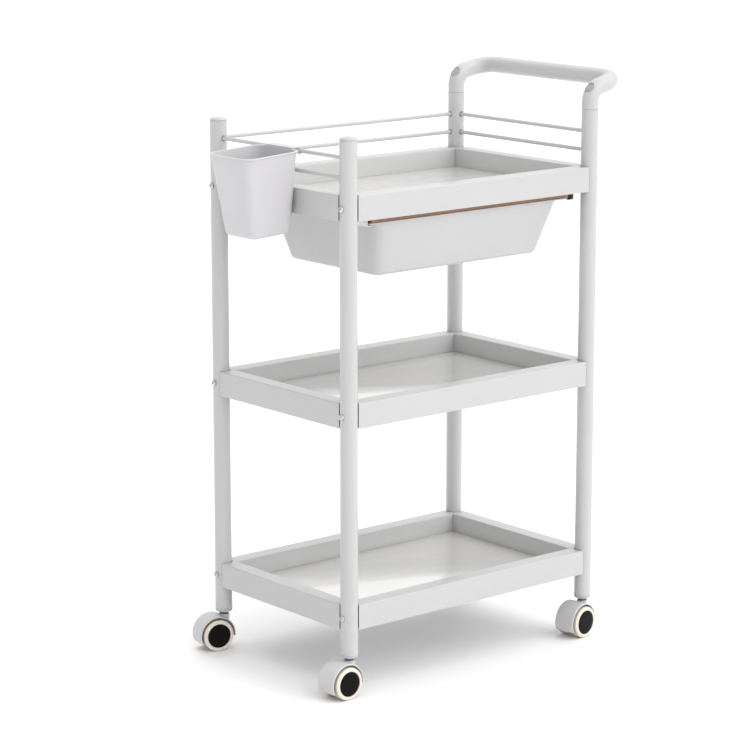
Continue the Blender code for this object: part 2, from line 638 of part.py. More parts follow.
# ---------------------------------------------------------------- casters
def caster_profiles():
    """Turned profiles of a caster's socket, stem, axle and wheel."""
    sleeve_r = BORE_R - GAP
    bore = STEM_D / 2 + GAP
    low = CASTER_HEIGHT
    lip = low + SOCKET_LIP
    stem_top = lip + STEM_IN_POST
    deep = stem_top + STEM_HEADROOM
    rounding = 0.0025
    soft = 0.3 * rounding
    socket = [(sleeve_r, deep), (sleeve_r, lip), (TUBE_R, lip), (TUBE_R, low + rounding),
              (TUBE_R - soft, low + soft), (TUBE_R - rounding, low), (bore, low), (bore, deep)]
    pin_low = WHEEL_R - PIN_BELOW_AXLE
    bevel = 0.001
    stem = [(0.0, stem_top), (STEM_D / 2 - bevel, stem_top), (STEM_D / 2, stem_top - bevel),
            (STEM_D / 2, low - GAP), (COLLAR_D / 2, low - GAP), (COLLAR_D / 2, COLLAR_LOW),
            (STEM_PIN_D / 2, COLLAR_LOW), (STEM_PIN_D / 2, pin_low), (0.0, pin_low)]
    half_axle = WHEEL_OUTER - AXLE_END_WALL
    axle = [(0.0, half_axle), (AXLE_D / 2, half_axle), (AXLE_D / 2, -half_axle),
            (0.0, -half_axle)]
    s = WHEEL_SHOULDER
    round_over = [(WHEEL_R - s + s * math.cos(math.radians(a)),
                   WHEEL_OUTER - s + s * math.sin(math.radians(a))) for a in (90, 60, 30, 0)]
    bore_r = AXLE_D / 2 + GAP
    wheel = [(0.0, WHEEL_OUTER - HUB_DISH), (HUB_DISC_D / 2, WHEEL_OUTER - HUB_DISH),
             (HUB_DISC_D / 2 + HUB_DISH / 2, WHEEL_OUTER), *round_over,
             (WHEEL_R, WHEEL_INNER + bevel), (WHEEL_R - bevel, WHEEL_INNER),
             (bore_r, WHEEL_INNER), (bore_r, half_axle + GAP), (0.0, half_axle + GAP)]
    return socket, stem, axle, wheel


def hood(name, matrix):
    """The moulded hood: an arched cover, the web between the wheels and the stem boss."""
    inner = HOOD_R - HOOD_SHEET
    centre = (-CASTER_TRAIL, WHEEL_R)
    cover = (arc(centre, HOOD_R, HOOD_FRONT, HOOD_REAR, 22)
             + arc(centre, inner, HOOD_REAR, HOOD_FRONT, 22))
    item = outline(name, cover, HOOD_WIDTH, LILAC_PLASTIC)
    web = arc(centre, inner + HOOD_SHEET / 3, HOOD_FRONT, HOOD_REAR, 16)
    middle = outline(f"{name}_web", web, CASTER_WEB, group=CUTTERS)
    boss = cylinder(f"{name}_boss", (0, 0, COLLAR_LOW - BOSS_DEPTH), (0, 0, COLLAR_LOW - GAP),
                    COLLAR_D / 2 + BOSS_WALL, group=CUTTERS, steps=16)
    # the boss stays above the wheels: what is under their rims is cut away
    sliver = 0.0001
    wheel_room = [
        cylinder(f"{name}_room_{i}", (centre[0], side * (CASTER_WEB / 2 + sliver), centre[1]),
                 (centre[0], side * HOOD_WIDTH, centre[1]), inner - sliver, group=CUTTERS,
                 steps=48)
        for i, side in enumerate((-1, 1))
    ]
    bore = cylinder(f"{name}_bore", (0, 0, WHEEL_R - 2 * PIN_BELOW_AXLE), (0, 0, CASTER_HEIGHT),
                    STEM_PIN_D / 2 + GAP, group=CUTTERS, steps=16)
    eye = cylinder(f"{name}_eye", (centre[0], -CASTER_WEB, centre[1]),
                   (centre[0], CASTER_WEB, centre[1]), AXLE_D / 2 + GAP, group=CUTTERS, steps=16)
    for room in wheel_room:
        combine(boss, room)
    combine(middle, boss, "UNION")
    combine(item, middle, "UNION")
    combine(item, bore)
    combine(item, eye)
    for piece in (item, middle, boss, bore, eye, *wheel_room):
        piece.matrix_world = matrix
    smooth(item)


def casters():
    """Four twin-wheel casters, each turned on its stem to where it was left."""
    socket, stem, axle, wheel = caster_profiles()
    for corner, (sx, sy) in POSTS.items():
        name = f"caster_{corner}"
        turn = Matrix.Rotation(math.radians(SWIVEL[corner]), 4, "Z")
        spot = Matrix.Translation((sx * HALF_X + MIDDLE_X, sy * HALF_Y, 0))
        swivel = spot @ turn
        turned(f"{name}_socket", socket, WHITE_PLASTIC, closed=True).matrix_world = spot
        turned(f"{name}_stem", stem, DARK_STEEL, steps=16).matrix_world = swivel
        hood(f"{name}_hood", swivel)
        hub = swivel @ Matrix.Translation((-CASTER_TRAIL, 0, WHEEL_R))
        for side, angle in (("a", 90), ("b", -90)):
            lay = Matrix.Rotation(math.radians(angle), 4, "X")
            item = turned(f"{name}_wheel_{side}", wheel, BEIGE_RUBBER, steps=ROUND_STEPS)
            item.matrix_world = hub @ lay
        lay = Matrix.Rotation(math.radians(90), 4, "X")
        turned(f"{name}_axle", axle, DARK_STEEL, steps=16).matrix_world = hub @ lay


# ---------------------------------------------------------------- build
clear_scene()
TROLLEY = collection("rolling_trolley")
CUTTERS = collection("cutters")
WHITE_STEEL = material("white_powder_coat", (0.80, 0.80, 0.80), 0.35)
WHITE_PLASTIC = material("white_plastic", (0.79, 0.79, 0.79), 0.40)
LILAC_PLASTIC = material("cool_white_plastic", (0.72, 0.71, 0.75), 0.40)
GREY_PLASTIC = material("grey_plug_plastic", (0.45, 0.45, 0.46), 0.50)
BEIGE_RUBBER = material("beige_tread", (0.62, 0.56, 0.46), 0.55)
BROWN_BOARD = material("brown_board", (0.28, 0.17, 0.09), 0.80)
ZINC_STEEL = material("zinc_steel", (0.55, 0.55, 0.56), 0.40, 1.0)
DARK_STEEL = material("dark_steel", (0.12, 0.12, 0.13), 0.40, 1.0)
CHROME = material("chrome", (0.75, 0.75, 0.76), 0.15, 1.0)

posts()
post_caps()
guard_rods()
handle()
for tier, tray_top in zip(TIERS, TRAY_TOPS):
    tray(f"tray_{tier}", tray_top)
    tray_screws(f"tray_{tier}", tray_top)
drawer_mounting()
drawer()
bucket()
casters()
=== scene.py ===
"""A three-tier rolling trolley with a hanging bucket and a drawer, dressed over its CAD model.

Metres, +Z up, +X towards the handle, -Y the front.  The sections follow the assembly.
"""
import math

import bmesh
import bpy
from mathutils import Matrix, Vector


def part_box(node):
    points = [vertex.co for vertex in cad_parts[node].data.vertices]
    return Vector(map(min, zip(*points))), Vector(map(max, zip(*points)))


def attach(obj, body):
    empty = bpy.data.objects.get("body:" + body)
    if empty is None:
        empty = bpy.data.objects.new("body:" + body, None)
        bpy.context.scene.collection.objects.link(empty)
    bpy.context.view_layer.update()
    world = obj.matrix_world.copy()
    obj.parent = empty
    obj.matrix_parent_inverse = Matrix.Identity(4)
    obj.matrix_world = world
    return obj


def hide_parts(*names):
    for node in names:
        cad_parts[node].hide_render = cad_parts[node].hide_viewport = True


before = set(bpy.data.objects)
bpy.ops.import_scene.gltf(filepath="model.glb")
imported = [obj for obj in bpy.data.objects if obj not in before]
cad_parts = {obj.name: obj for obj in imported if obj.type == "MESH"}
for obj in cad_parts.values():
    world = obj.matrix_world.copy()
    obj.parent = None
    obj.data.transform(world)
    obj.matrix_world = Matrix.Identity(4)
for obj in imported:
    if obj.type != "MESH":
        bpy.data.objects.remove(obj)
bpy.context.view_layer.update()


# ---------------------------------------------------------------- posts
# Four round tubes of mild steel, 25.4 mm across with a 1.2 mm wall, sawn to length, drilled
# for the tray screws and the guard rods, then powder coated white.  Each end is lightly
# broken, so a fine line shows where the next piece sits on it.  The seam is the play left
# between fitted pieces throughout.
class Value:
    """One output of a material's nodes; the usual signs put Math nodes behind it."""

    def __init__(self, finish, socket):
        self.finish = finish
        self.socket = socket

    def math(self, operation, *values):
        return self.finish.add("ShaderNodeMath", {"operation": operation}, dict(enumerate(values)))

    def __add__(self, other):
        return self.math("ADD", self, other)

    def __radd__(self, other):
        return self.math("ADD", other, self)

    def __rsub__(self, other):
        return self.math("SUBTRACT", other, self)

    def __mul__(self, other):
        return self.math("MULTIPLY", self, other)

    def __rmul__(self, other):
        return self.math("MULTIPLY", other, self)

    def rises(self, low, high):
        """0 below one value, 1 above the other, smooth between them."""
        return self.finish.add("ShaderNodeMapRange", {"interpolation_type": "SMOOTHSTEP"},
                               {"Value": self, "From Min": low, "From Max": high})


class Finish:
    """One material: a Principled shader, its fixed numbers, and the nodes that feed it."""

    def __init__(self, name, fixed):
        self.material = bpy.data.materials.new(name)
        self.material.use_nodes = True
        self.nodes = self.material.node_tree.nodes
        self.links = self.material.node_tree.links
        self.shader = self.nodes["Principled BSDF"]
        self.spot = self.add("ShaderNodeTexCoord", output="Object")
        self.give(fixed)

    def give(self, values, node=None):
        """Sets or links the sockets of a node, or of the shader."""
        for name, value in values.items():
            socket = (node or self.shader).inputs[name]
            if isinstance(value, Value):
                self.links.new(value.socket, socket)
            else:
                socket.default_value = value

    def add(self, kind, settings=None, values=None, output=0):
        node = self.nodes.new(kind)
        for name, setting in (settings or {}).items():
            setattr(node, name, setting)
        self.give(values or {}, node)
        return Value(self, node.outputs[output])

    def noise(self, scale, detail=2.0, stretch=None, roughness=0.5):
        """Noise of about 0.2 to 0.8, scale times a metre; stretch slows it along each axis."""
        spot = self.spot
        if stretch:
            spot = self.add("ShaderNodeMapping", {"vector_type": "POINT"},
                            {"Vector": spot, "Scale": stretch})
        return self.add("ShaderNodeTexNoise", None,
                        {"Vector": spot, "Scale": scale, "Detail": detail,
                         "Roughness": roughness})

    def height(self):
        """Height above the floor, in metres, of a piece that stays with the frame."""
        return self.add("ShaderNodeSeparateXYZ", None, {"Vector": self.spot}, "Z")

    def mix(self, share, low, high):
        """From one colour to the other."""
        low = low if isinstance(low, Value) else (*low, 1.0)
        high = high if isinstance(high, Value) else (*high, 1.0)
        return self.add("ShaderNodeMix", {"data_type": "RGBA"}, {0: share, 6: low, 7: high}, 2)

    def bump(self, height, depth, strength=1.0):
        self.give({"Normal": self.add("ShaderNodeBump", None, {
            "Height": height, "Distance": depth, "Strength": strength})})


DUST = (0.60, 0.585, 0.56)
same_point = 0.000002


def powder_coat(name, base, roughness):
    """Baked powder: a fine orange peel, a soft sheen, a little dust and a few rubbed marks."""
    coat = Finish(name, {"IOR": 1.5, "Coat Weight": 0.25, "Coat Roughness": 0.16})
    peel = coat.noise(620, 2.0)
    cloud = coat.noise(9, 3.0)
    rub = coat.noise(46, 5.0, (1.0, 1.0, 0.25), 0.62).rises(0.60, 0.72)
    low_down = 1 - coat.height().rises(0.05, 0.22)
    dust = (low_down * coat.noise(150, 4.0) * 1.3).rises(0.35, 1.0) * 0.35
    grey = [tone * 0.93 for tone in base]
    paint = coat.mix(cloud.rises(0.35, 0.65), base, [tone * 0.985 for tone in base])
    paint = coat.mix(rub * 0.25, paint, grey)
    coat.give({"Base Color": coat.mix(dust, paint, DUST),
               "Roughness": roughness + 0.10 * cloud + 0.12 * rub + 0.25 * dust})
    coat.bump(peel, 0.00006, 0.5)
    return coat


def block(shape, low, high):
    """Adds a box between two corners."""
    made = bmesh.ops.create_cube(shape, size=1.0)["verts"]
    bmesh.ops.scale(shape, vec=[b - a for a, b in zip(low, high)], verts=made)
    bmesh.ops.translate(shape, vec=[(a + b) / 2 for a, b in zip(low, high)], verts=made)
    return made


def bar(shape, start, end, radius, steps=48):
    """Adds a solid round bar from one point to another."""
    start, end = Vector(start), Vector(end)
    along = end - start
    turn = along.to_track_quat("Z", "Y").to_matrix().to_4x4()
    return bmesh.ops.create_cone(shape, cap_ends=True, segments=steps, radius1=radius,
                                 radius2=radius, depth=along.length,
                                 matrix=Matrix.Translation((start + end) / 2) @ turn)["verts"]


def turned(profile, steps=96, closed=False):
    """Spins (radius, height) points about Z into a solid."""
    shape = bmesh.new()
    verts = [shape.verts.new((radius, 0, z)) for radius, z in profile]
    if closed:
        verts.append(verts[0])
    edges = [shape.edges.new(pair) for pair in zip(verts, verts[1:])]
    bmesh.ops.spin(shape, geom=shape.verts[:] + edges, cent=(0, 0, 0), axis=(0, 0, 1),
                   angle=math.tau, steps=steps, use_merge=True)
    bmesh.ops.remove_doubles(shape, verts=shape.verts, dist=same_point)
    bmesh.ops.recalc_face_normals(shape, faces=shape.faces)
    return shape


def moved(shape, matrix):
    bmesh.ops.transform(shape, matrix=matrix, verts=shape.verts)
    return shape


def copy_of(shape, matrix):
    return moved(shape.copy(), matrix)


def worked(shape, tool, operation="DIFFERENCE"):
    """The shape after a tool is cut from it or welded to it."""
    guides = []
    for part in (shape, tool):
        bmesh.ops.recalc_face_normals(part, faces=part.faces)
        mesh = bpy.data.meshes.new("guide")
        part.to_mesh(mesh)
        part.free()
        guides.append(bpy.data.objects.new("guide", mesh))
        bpy.context.scene.collection.objects.link(guides[-1])
    step = guides[0].modifiers.new("step", "BOOLEAN")
    step.operation = operation
    step.solver = "EXACT"
    step.object = guides[1]
    result = bmesh.new()
    result.from_object(guides[0], bpy.context.evaluated_depsgraph_get())
    for guide in guides:
        mesh = guide.data
        bpy.data.objects.remove(guide)
        bpy.data.meshes.remove(mesh)
    bmesh.ops.remove_doubles(result, verts=result.verts, dist=same_point)
    return result


def fitted(name, shape, body, finish, stands_for=(), crisp=32):
    """Hands over a finished piece: smooth shaded, painted, and riding on its body."""
    mesh = bpy.data.meshes.new(name)
    if not any(edge.is_boundary for edge in shape.edges):
        bmesh.ops.recalc_face_normals(shape, faces=shape.faces)
    shape.to_mesh(mesh)
    shape.free()
    mesh.shade_smooth()
    mesh.set_sharp_from_angle(angle=math.radians(crisp))
    mesh.materials.append(finish.material)
    piece = bpy.data.objects.new(name, mesh)
    bpy.context.scene.collection.objects.link(piece)
    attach(piece, body)
    if stands_for:
        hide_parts(*stands_for)
    return piece


WHITE = (0.500, 0.498, 0.498)
white_coat = powder_coat("white_powder_coat", WHITE, 0.27)
corners = {"front_left": (-1, -1), "back_left": (-1, 1), "front_right": (1, -1),
           "back_right": (1, 1)}
tiers = ("bottom", "middle", "top")
tube_wall = 0.0012
end_break = 0.0002
seam = 0.0003
drill_reach = 0.02
post_low, post_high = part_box("post_front_left")
tube_r = (post_high.x - post_low.x) / 2
post_foot = post_low.z
axis_of = {}
for corner in corners:
    low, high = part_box(f"post_{corner}")
    axis_of[corner] = Vector(((low.x + high.x) / 2, (low.y + high.y) / 2, 0))

rod_boxes = {name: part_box(f"guard_rod_{name}_lower") for name in ("left", "right", "back")}
rod_r = (rod_boxes["left"][1].z - rod_boxes["left"][0].z) / 2
rod_heights = [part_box(f"guard_rod_left_{level}")[0].z + rod_r for level in ("lower", "upper")]
tray_tops = [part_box(f"tray_{tier}")[1].z for tier in tiers]
wall_height = tray_tops[0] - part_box("tray_bottom")[0].z
screw_heights = [top - wall_height / 2 for top in tray_tops]
rod_hole_r = rod_r + 0.0010
screw_hole_r = 0.0028

for corner, (sx, sy) in corners.items():
    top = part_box(f"post_{corner}")[1].z
    bore = tube_r - tube_wall
    ring = [(tube_r, top - end_break), (tube_r, post_foot + end_break),
            (tube_r - end_break, post_foot), (bore, post_foot), (bore, top),
            (tube_r - end_break, top)]
    tube = turned(ring, steps=96, closed=True)
    drills = bmesh.new()
    for z in screw_heights:
        bar(drills, (-drill_reach, 0, z), (drill_reach, 0, z), screw_hole_r, 32)
    for z in rod_heights:
        bar(drills, (0, 0, z), (0, -sy * drill_reach, z), rod_hole_r, 32)
    tube = worked(tube, drills)
    if sy > 0:
        drills = bmesh.new()
        for z in rod_heights:
            bar(drills, (0, 0, z), (-sx * drill_reach, 0, z), rod_hole_r, 32)
        tube = worked(tube, drills)
    moved(tube, Matrix.Translation(axis_of[corner]))
    fitted(f"post_{corner}_tube", tube, "frame", white_coat,
           [f"post_{corner}"])


# ---------------------------------------------------------------- trays
# Three pans pressed from 1.2 mm sheet steel.  The edge is folded out and down into a hollow
# rim with rounded folds, the corners are notched round the posts, and a thin glossy deck
# sheet lies loose inside, so a fine dark line runs round its edge.  Cutters reach past the
# sheet by the two lengths named past.
deck_depth = 0.0288
sheet = 0.0012
fold_r = 0.0017
notch_r = tube_r + 0.0013
deck_sheet = 0.00055
deck_gap = 0.0009
deck_clear = 0.00005
past = 0.02
bore_past = 0.03
tray_low, tray_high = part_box("tray_top")
tray_middle = (tray_low + tray_high) / 2
rim_half = (tray_high - tray_low) / 2
post_half = axis_of["front_right"] - Vector((tray_middle.x, 0, 0))
post_half = (abs(post_half.x), abs(post_half.y))
well_half = [half - notch_r - sheet for half in post_half]

deck_coat = Finish("glossy_deck_sheet", {"IOR": 1.5, "Coat Weight": 0.6, "Coat Roughness": 0.05})
deck_cloud = deck_coat.noise(7, 3.0)
wipe = deck_coat.noise(16, 3.0, (0.5, 1.2, 1.0), 0.5).rises(0.40, 0.70)
speck = deck_coat.noise(420, 1.0).rises(0.74, 0.80)
deck_paint = deck_coat.mix(deck_cloud.rises(0.3, 0.7), (0.880, 0.873, 0.857),
                           (0.870, 0.863, 0.847))
deck_paint = deck_coat.mix(speck * 0.14, deck_paint, (0.55, 0.54, 0.52))
deck_coat.give({"Base Color": deck_paint, "Roughness": 0.20 + 0.03 * wipe + 0.2 * speck})
deck_coat.bump(deck_coat.noise(240, 2.0), 0.00002, 0.25)


def tray_pan(top):
    """The folded pan, centred on the posts, with its rim at the given height."""
    deck = top - deck_depth
    foot = top - wall_height
    body = bmesh.new()
    block(body, (-rim_half.x, -rim_half.y, foot), (rim_half.x, rim_half.y, top))
    well = bmesh.new()
    block(well, (-well_half[0], -well_half[1], deck - deck_sheet - deck_clear),
          (well_half[0], well_half[1], top + past))
    body = worked(body, well)
    folds = [e for e in body.edges if all(abs(v.co.z - top) < 1e-5 for v in e.verts)
             and not e.calc_face_angle(0) < 0.5]
    bmesh.ops.bevel(body, geom=folds, offset=fold_r, segments=4, profile=0.5, affect="EDGES",
                    material=-1)
    hem = [e for e in body.edges if all(abs(v.co.z - foot) < 1e-5 for v in e.verts)
           and e.calc_face_angle(0) > 0.5]
    bmesh.ops.bevel(body, geom=hem, offset=0.0004, segments=2, profile=0.5, affect="EDGES",
                    material=-1)
    hollow = bmesh.new()
    block(hollow, (-rim_half.x + sheet, -rim_half.y + sheet, foot - past),
          (rim_half.x - sheet, rim_half.y - sheet, top - sheet))
    pan = bmesh.new()
    block(pan, (-well_half[0] - sheet, -well_half[1] - sheet, deck - sheet),
          (well_half[0] + sheet, well_half[1] + sheet, top + past))
    hollow = worked(hollow, pan)
    saddles, notches, seams, outside, holes = (bmesh.new() for _ in range(5))
    for sx, sy in corners.values():
        x, y = sx * post_half[0], sy * post_half[1]
        bar(saddles, (x, y, foot - bore_past), (x, y, top + bore_past), notch_r + sheet, 64)
        bar(notches, (x, y, foot - bore_past), (x, y, top + bore_past), notch_r, 64)
        bar(seams, (sx * well_half[0], sy * well_half[1], deck + 0.0002),
            (sx * well_half[0], sy * well_half[1], top - fold_r), 0.0006, 12)
        block(outside, (min(x, x + sx * past), min(y, y + sy * past), foot - past),
              (max(x, x + sx * past), max(y, y + sy * past), top + past))
        bar(holes, (x, y, top - wall_height / 2),
            (x - sx * (notch_r + 4 * sheet), y, top - wall_height / 2), screw_hole_r, 24)
    hollow = worked(hollow, saddles)
    for tool in (hollow, notches, outside, seams, holes):
        body = worked(body, tool)
    return body


def deck_panel(top):
    """The loose deck sheet with softly rounded corners and a broken edge."""
    deck = top - deck_depth
    panel = bmesh.new()
    block(panel, (-well_half[0] + deck_gap, -well_half[1] + deck_gap, deck - deck_sheet),
          (well_half[0] - deck_gap, well_half[1] - deck_gap, deck))
    upright = [e for e in panel.edges if abs(e.verts[0].co.z - e.verts[1].co.z) > 1e-5]
    bmesh.ops.bevel(panel, geom=upright, offset=0.0022, segments=5, profile=0.5,
                    affect="EDGES", material=-1)
    rim = [e for e in panel.edges if all(abs(v.co.z - deck) < 1e-6 for v in e.verts)]
    bmesh.ops.bevel(panel, geom=rim, offset=0.0002, segments=2, profile=0.5, affect="EDGES",
                    material=-1)
    return panel


to_middle = Matrix.Translation((tray_middle.x, 0, 0))
for tier, top in zip(tiers, tray_tops):
    fitted(f"tray_{tier}_pan", moved(tray_pan(top), to_middle), "frame", white_coat,
           [f"tray_{tier}"], crisp=28)
    fitted(f"tray_{tier}_deck_sheet", moved(deck_panel(top), to_middle), "frame", deck_coat)


# ---------------------------------------------------------------- tray screws
# Bright zinc machine screws, one through each post into the tray's corner, twelve in all.
# The pan head is 9 mm across with a cross recess, and a short shank shows in the bore.
screw_metal = Finish("bright_zinc", {"Metallic": 1.0})
lathe = screw_metal.noise(900, 3.0)
screw_metal.give({
    "Base Color": screw_metal.mix(screw_metal.noise(300, 3.0).rises(0.4, 0.7),
                                  (0.62, 0.62, 0.63), (0.40, 0.40, 0.42)),
    "Roughness": 0.22 + 0.2 * lathe})
screw_metal.bump(lathe, 0.00003, 0.5)

head_low, head_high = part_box("tray_top_screw_front_left")
screw_length = head_high.x - head_low.x
head_r = (head_high.z - head_low.z) / 2
head_h = 0.0028
crown = [(head_r * math.sin(math.radians(a)) ** 0.72, head_h * (0.45 + 0.55 * math.cos(
    math.radians(a)))) for a in (22, 38, 52, 66, 78, 90)]
screw = turned([(0, head_h), *crown, (head_r, 0.0003), (head_r - 0.0003, 0), (0.0024, 0),
                (0.0024, head_h - screw_length + 0.0008), (0.0016, head_h - screw_length),
                (0, head_h - screw_length)], steps=40)
for turn in (0, 90):
    slot_cut = bmesh.new()
    block(slot_cut, (-0.0022, -0.0005, head_h - 0.0014), (0.0022, 0.0005, head_h + 0.001))
    for vert in slot_cut.verts:
        if vert.co.z < head_h:
            vert.co.x *= 0.55
            vert.co.y *= 0.7
    screw = worked(screw, moved(slot_cut, Matrix.Rotation(math.radians(turn), 4, "Z")))
for tier, z in zip(tiers, screw_heights):
    for index, (corner, (sx, sy)) in enumerate(corners.items()):
        face_out = Matrix.Rotation(sx * math.pi / 2, 4, "Y")
        twist = Matrix.Rotation(math.radians(17 + 31 * index), 4, "Z")
        box_low, box_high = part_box(f"tray_{tier}_screw_{corner}")
        tip = box_low.x if sx < 0 else box_high.x
        seat = Matrix.Translation((tip - sx * head_h, axis_of[corner].y, z))
        fitted(f"tray_{tier}_screw_{corner}_head", copy_of(screw, seat @ face_out @ twist),
               "frame", screw_metal, [f"tray_{tier}_screw_{corner}"], crisp=40)
screw.free()


# ---------------------------------------------------------------- post caps
# Two moulded caps with a low dome close the open ends of the left posts.  A ribbed plug
# under each is pushed into the tube.
def moulded(name, base, shade, roughness, grain=520, soft=0.0):
    """Moulded plastic: a fine sparked grain, faint flow clouds and a few handling marks."""
    plastic = Finish(name, {"IOR": 1.47, "Subsurface Weight": soft, "Subsurface Scale": 0.004})
    flow = plastic.noise(13, 3.0)
    mark = plastic.noise(75, 5.0, (1.0, 1.0, 0.4), 0.65).rises(0.62, 0.74)
    tone = plastic.mix(flow.rises(0.35, 0.65), base, shade)
    plastic.give({"Base Color": plastic.mix(mark * 0.16, tone, [t * 0.86 for t in base]),
                  "Roughness": roughness + 0.10 * flow + 0.14 * mark})
    plastic.bump(plastic.noise(grain, 3.0), 0.00005, 0.45)
    return plastic


white_plastic = moulded("white_plastic", (0.505, 0.504, 0.510), (0.495, 0.494, 0.499), 0.34,
                        soft=0.03)
for corner in ("front_left", "back_left"):
    low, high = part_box(f"post_cap_{corner}")
    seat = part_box(f"post_{corner}")[1].z + seam
    dome = high.z - seat
    brim = 0.0012
    rib_depth = 0.0006
    plug_r = tube_r - tube_wall - seam
    arch = [(tube_r * math.sin(a), seat + brim + (dome - brim) * math.cos(a))
            for a in [math.radians(9 * i) for i in range(1, 11)]]
    ribs = []
    for i in range(3):
        z = seat - 0.0025 - 0.0036 * i
        ribs += [(plug_r - rib_depth, z + 0.0009), (plug_r, z), (plug_r, z - 0.0007),
                 (plug_r - rib_depth, z - 0.0009)]
    cap = turned([(0, high.z), *arch, (tube_r, seat + 0.0003), (tube_r - 0.0003, seat),
                  (plug_r - rib_depth, seat), *ribs, (plug_r - 0.001, low.z), (0, low.z)], steps=72)
    moved(cap, Matrix.Translation(axis_of[corner]))
    fitted(f"post_cap_{corner}_dome", cap, "frame", white_plastic,
           [f"post_cap_{corner}"])


# ---------------------------------------------------------------- guard rods
# Six 6 mm steel rods, powder coated, two on each side but the front.  Their rounded ends
# pass through the posts' drilled holes and stop inside the tubes.
round_in = 0.0006
for side in ("left", "right", "back"):
    for level in ("lower", "upper"):
        low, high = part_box(f"guard_rod_{side}_{level}")
        middle = (low + high) / 2
        along = 0 if side == "back" else 1
        half = (high[along] - low[along]) / 2
        rod = turned([(0, half), (rod_r - round_in, half), (rod_r, half - round_in),
                      (rod_r, -half + round_in), (rod_r - round_in, -half), (0, -half)], steps=40)
        lay = Matrix.Rotation(math.pi / 2, 4, "Y" if side == "back" else "X")
        moved(rod, Matrix.Translation(middle) @ lay)
        fitted(f"guard_rod_{side}_{level}_bar", rod, "frame", white_coat,
               [f"guard_rod_{side}_{level}"])


# ---------------------------------------------------------------- push handle
# One tube bent at both elbows and both corners, on spigots pushed into the right posts.
# Each elbow has a round opening on its outside, closed by a sunk grey plug.
elbow_r = 0.024
corner_r = 0.03004
arm_rise = 0.012
handle_low, handle_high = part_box("handle")
grip_x = handle_high.x - tube_r
grip_z = handle_high.z - tube_r
elbow_z = grip_z - arm_rise
seat_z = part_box("post_front_right")[1].z + seam
leg_x = axis_of["front_right"].x
leg_y = abs(axis_of["front_right"].y)


def grown(shape, edges, shift, size=1.0, about=None):
    """Extrudes a ring of edges, shifts it, and scales it about a point."""
    new = bmesh.ops.extrude_edge_only(shape, edges=edges)["geom"]
    verts = [g for g in new if isinstance(g, bmesh.types.BMVert)]
    bmesh.ops.translate(shape, vec=shift, verts=verts)
    if about is not None:
        bmesh.ops.scale(shape, vec=(size, size, 1), verts=verts,
                        space=Matrix.Translation(-about))
    ends = set(verts)
    return [g for g in new if isinstance(g, bmesh.types.BMEdge) and set(g.verts) <= ends]


def bent(path, radii, radius, sides=64, steps=10):
    """A round skin that follows straight runs and spun bends from one leg's foot to the other."""
    shape = bmesh.new()
    bmesh.ops.create_circle(shape, cap_ends=False, segments=sides, radius=radius,
                            matrix=Matrix.Translation(path[0]))
    ring = shape.edges[:]
    first = ring[:]
    at = path[0]
    for before, corner, after, bend_r in zip(path, path[1:], path[2:], radii):
        back = (before - corner).normalized()
        ahead = (after - corner).normalized()
        half = back.angle(ahead) / 2
        centre = corner + (back + ahead).normalized() * bend_r / math.sin(half)
        start = corner + back * bend_r / math.tan(half)
        if (start - at).length > 1e-5:
            ring = grown(shape, ring, start - at)
        spun = bmesh.ops.spin(shape, geom=ring, cent=centre, axis=(-back).cross(ahead),
                              angle=math.pi - 2 * half, steps=steps, use_merge=False)
        ring = [g for g in spun["geom_last"] if isinstance(g, bmesh.types.BMEdge)]
        at = corner + ahead * bend_r / math.tan(half)
    ring = grown(shape, ring, path[-1] - at)
    return shape, first, ring


foot_z = seat_z + end_break
path = [Vector((leg_x, -leg_y, foot_z)), Vector((leg_x, -leg_y, elbow_z)),
        Vector((grip_x, -leg_y, grip_z)), Vector((grip_x, leg_y, grip_z)),
        Vector((leg_x, leg_y, elbow_z)), Vector((leg_x, leg_y, foot_z))]
tube, front_foot, back_foot = bent(path, (elbow_r, corner_r, corner_r, elbow_r), tube_r)
spigot_r = tube_r - tube_wall - seam
spigot_low = handle_low.z
for ring, y in ((front_foot, -leg_y), (back_foot, leg_y)):
    about = Vector((leg_x, y, 0))
    broken = tube_r - end_break
    ring = grown(tube, ring, (0, 0, -end_break), broken / tube_r, about)
    ring = grown(tube, ring, (0, 0, 0), spigot_r / broken, about)
    ring = grown(tube, ring, (0, 0, spigot_low + 0.001 - seat_z))
    ring = grown(tube, ring, (0, 0, -0.001), 0.92, about)
    bmesh.ops.contextual_create(tube, geom=ring)

arm = Vector((grip_x - leg_x, 0, arm_rise)).normalized()
outward = (Vector((0, 0, 1)) - arm).normalized()
half_bend = Vector((0, 0, -1)).angle(arm) / 2
elbow_in = elbow_r * (1 / math.sin(half_bend) - 1)
plug_r = (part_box("handle_plug_front")[1].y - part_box("handle_plug_front")[0].y) / 2
plug_thick = 0.0020
plug_sunk = 0.0024
openings = bmesh.new()
elbows = {}
for side, y in (("front", -leg_y), ("back", leg_y)):
    skin = Vector((leg_x, y, elbow_z)) + outward * (tube_r - elbow_in)
    elbows[side] = skin
    bar(openings, skin - outward * (plug_sunk + plug_thick + 0.0002), skin + outward * 0.01,
        plug_r + seam, 64)
tube = worked(tube, openings)
lips = [e for e in tube.edges if e.calc_face_angle(0) > 0.9 and any(
    (v.co - skin).length < 0.016 and (v.co - skin).dot(outward) > -plug_sunk
    for v in e.verts for skin in elbows.values())]
bmesh.ops.bevel(tube, geom=lips, offset=0.0006, segments=3, profile=0.5, affect="EDGES",
                material=-1)
fitted("handle_tube", tube, "frame", white_coat, ["handle"], crisp=35)

